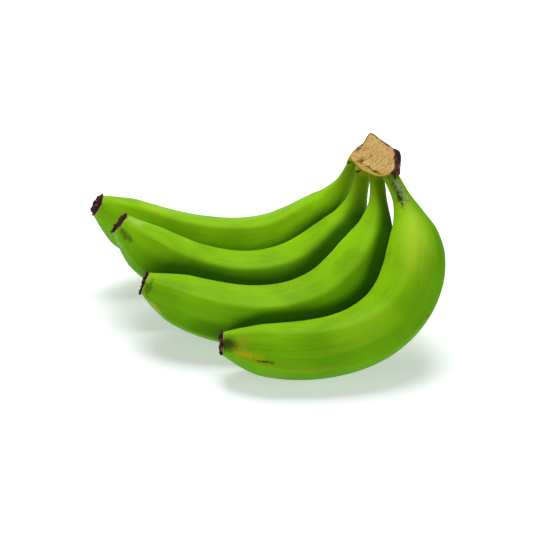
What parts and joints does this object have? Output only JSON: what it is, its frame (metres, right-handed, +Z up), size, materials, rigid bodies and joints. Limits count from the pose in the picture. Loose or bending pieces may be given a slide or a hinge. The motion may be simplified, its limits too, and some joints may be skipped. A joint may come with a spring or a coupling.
{
  "type": "hand of green bananas",
  "caption": "Hand of long, curved, five-sided green bananas lying on their bellies, their necks joined in one cut crown and each tip ending in a dry dark blossom scar.",
  "frame": {"origin": "on the table, under the centre of the bounding box; the fingers' bellies touch Z = 0", "axes": "+X along the fingers from their tips towards the crown, +Y across the hand to the finger farthest from the viewer, +Z up"},
  "size_m": [0.2166, 0.1546, 0.1011],
  "materials": {
    "peel": "waxy satin green banana peel, lighter on the flats that face up, dull and olive on the necks",
    "crown": "matt, fibrous, pale tan cut stalk tissue with brown edges and green skin round it",
    "blossom_end": "matt, rough, crumpled dark brown dry flower remains"
  },
  "bodies": {
    "root": {"crown": "crown", "banana_1": "peel", "banana_2": "peel", "banana_3": "peel", "banana_4": "peel", "blossom_end_1": "blossom_end", "blossom_end_2": "blossom_end", "blossom_end_3": "blossom_end", "blossom_end_4": "blossom_end"}
  },
  "joints": []
}
